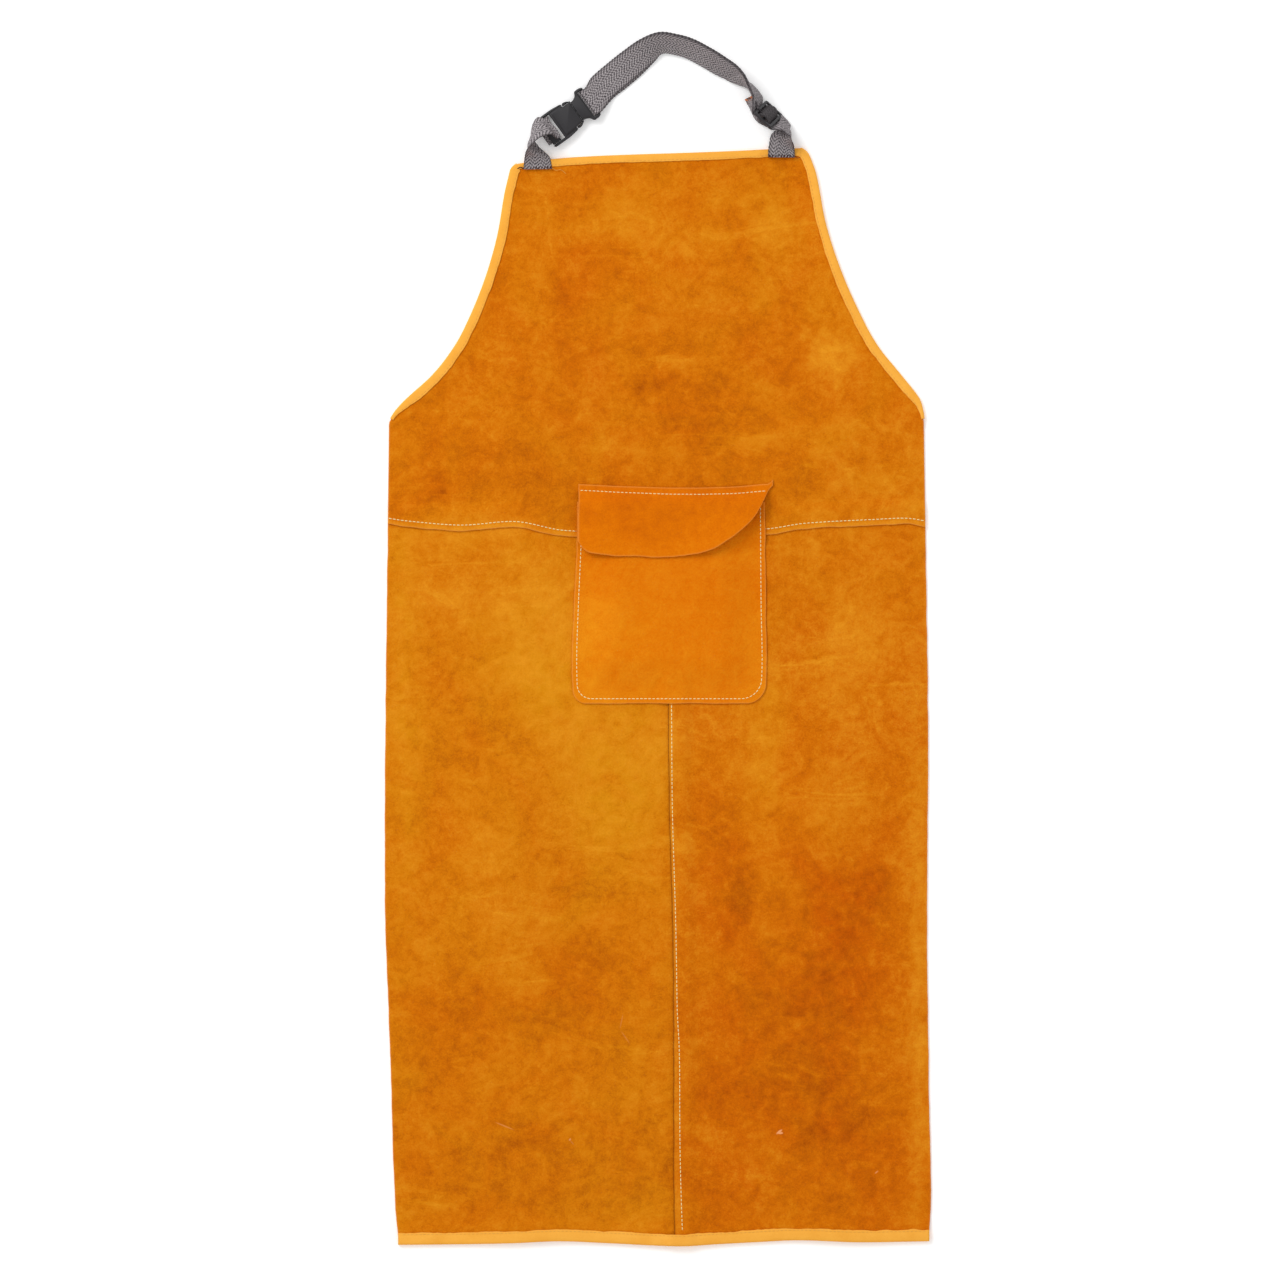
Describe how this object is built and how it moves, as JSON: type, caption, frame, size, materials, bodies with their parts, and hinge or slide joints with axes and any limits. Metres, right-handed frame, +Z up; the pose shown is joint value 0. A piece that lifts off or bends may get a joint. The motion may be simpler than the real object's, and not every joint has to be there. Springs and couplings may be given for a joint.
{
  "type": "leather welding apron",
  "caption": "Long split-leather apron with a flapped patch pocket, bound edges and a webbing neck strap with a side-release buckle, lying flat.",
  "frame": {"origin": "middle of the apron's box, on the surface that it lies on", "axes": "+Y from the hem towards the neck strap, +X from the buckle side towards the slider side, +Z up out of the front of the apron"},
  "size_m": [0.5526, 1.2276, 0.0324],
  "materials": {
    "bib_leather": "matte suede split leather, orange, mottled",
    "skirt_left_leather": "matte suede split leather, orange, more yellow",
    "skirt_right_leather": "matte suede split leather, orange, darker towards the hem",
    "pocket_leather": "matte suede split leather, smooth, orange",
    "flap_leather": "matte suede split leather, smooth, orange",
    "binding_leather": "smooth soft leather binding, pale yellow",
    "webbing": "woven polypropylene webbing, grey herringbone",
    "black_plastic": "moulded acetal, fine satin"
  },
  "bodies": {
    "root": {"upper_panel": "bib_leather", "lower_left_panel": "skirt_left_leather", "lower_right_panel": "skirt_right_leather", "pocket": "pocket_leather", "pocket_flap": "flap_leather", "top_binding": "binding_leather", "left_armhole_binding": "binding_leather", "right_armhole_binding": "binding_leather", "hem_binding": "binding_leather", "left_tab": "webbing", "neck_strap": "webbing", "buckle_socket": "black_plastic", "buckle_plug": "black_plastic", "slider": "black_plastic"}
  },
  "joints": []
}
